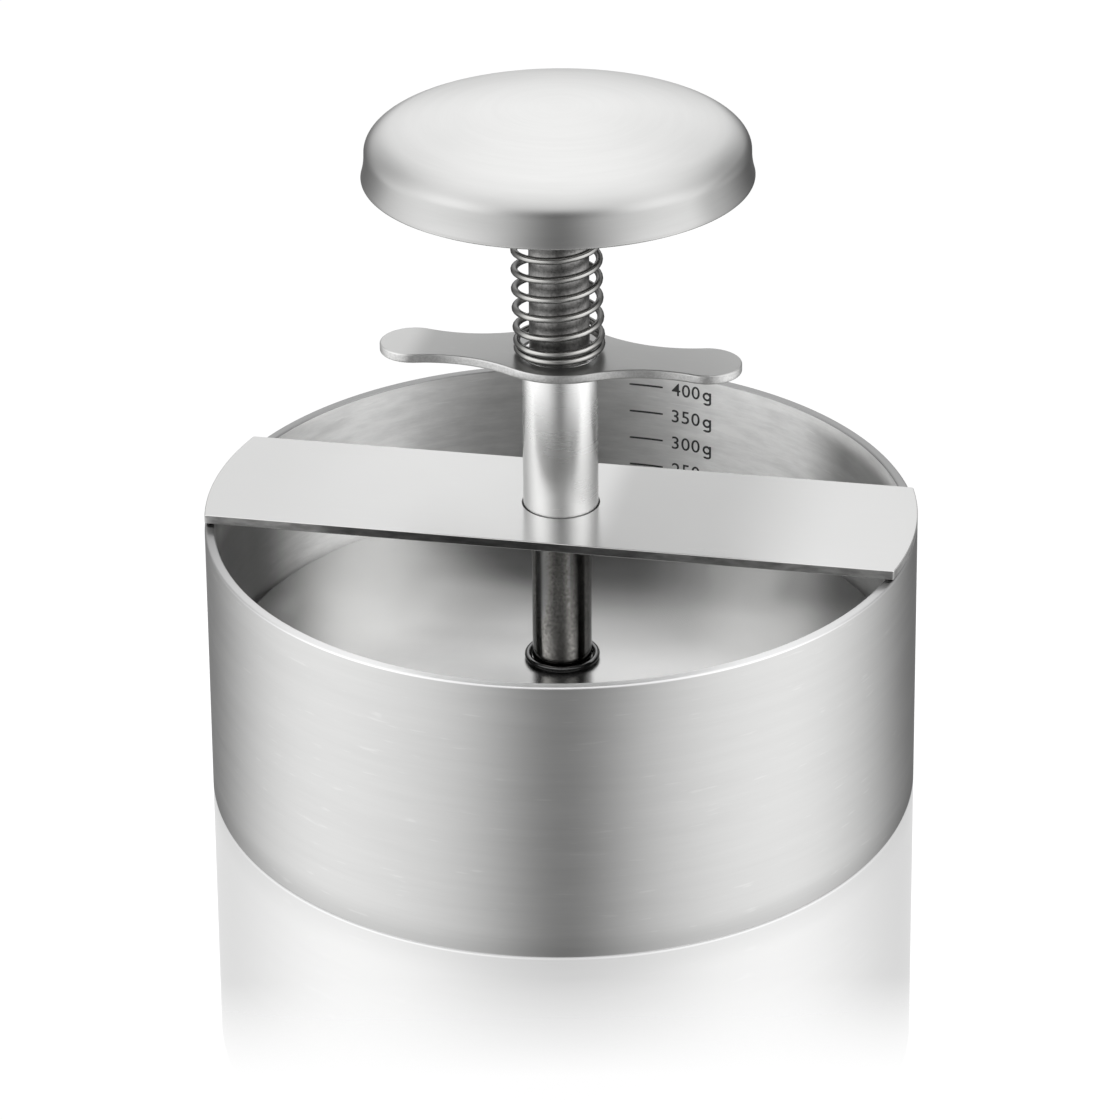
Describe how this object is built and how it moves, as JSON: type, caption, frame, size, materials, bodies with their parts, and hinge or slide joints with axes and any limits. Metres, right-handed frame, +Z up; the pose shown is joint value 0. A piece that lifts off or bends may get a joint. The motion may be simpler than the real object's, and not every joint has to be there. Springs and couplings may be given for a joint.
{
  "type": "patty press",
  "caption": "Hand press for round meat patties: open steel ring mould, bridge with guide tube and finger bar across its rim, sprung plunger with palm knob and flat press disc.",
  "frame": {"origin": "centre of the ring's bottom edge, on the board the press stands on", "axes": "+Z up along the plunger's axis, from the board to the knob; X along the bridge plate and the finger bar"},
  "size_m": [0.115, 0.115, 0.1147],
  "materials": {
    "ring_steel": "brushed around, satin",
    "bridge_steel": "fine satin",
    "tube_steel": "bright satin",
    "bar_steel": "satin",
    "knob_steel": "turned satin",
    "rod_steel": "ground, semi-polished",
    "disc_steel": "satin",
    "spring_steel": "bright drawn wire",
    "fastener_steel": "machined",
    "o_ring_rubber": "black, slightly glossy"
  },
  "bodies": {
    "mould": {"mould_ring": "ring_steel"},
    "bridge_unit": {"bridge_plate": "bridge_steel", "guide_tube": "tube_steel", "finger_bar": "bar_steel"},
    "spring_top": {"spring": "spring_steel"},
    "top_washer": {"spring_top_washer": "fastener_steel"},
    "plunger": {"plunger_rod": "rod_steel", "knob_shell": "knob_steel", "knob_hub": "fastener_steel", "knob_stud": "fastener_steel", "foot_o_ring": "o_ring_rubber", "press_disc": "disc_steel", "disc_screw": "fastener_steel"}
  },
  "joints": [
    {"name": "lift_off", "type": "slide", "parent": "mould", "child": "bridge_unit", "axis": [0, 0, 1], "range_m": [0, 0.06]},
    {"name": "press", "type": "slide", "parent": "bridge_unit", "child": "spring_top", "axis": [0, 0, -1], "range_m": [0, 0.0168], "stiffness_N_per_m": 600, "deforming": ["spring"]},
    {"name": "turn", "type": "hinge", "parent": "spring_top", "child": "top_washer", "pos_m": [0, 0, 0.1054], "axis": [0, 0, 1], "continuous": true},
    {"name": "pull_up", "type": "slide", "parent": "top_washer", "child": "plunger", "axis": [0, 0, 1], "range_m": [0, 0.0245]}
  ]
}
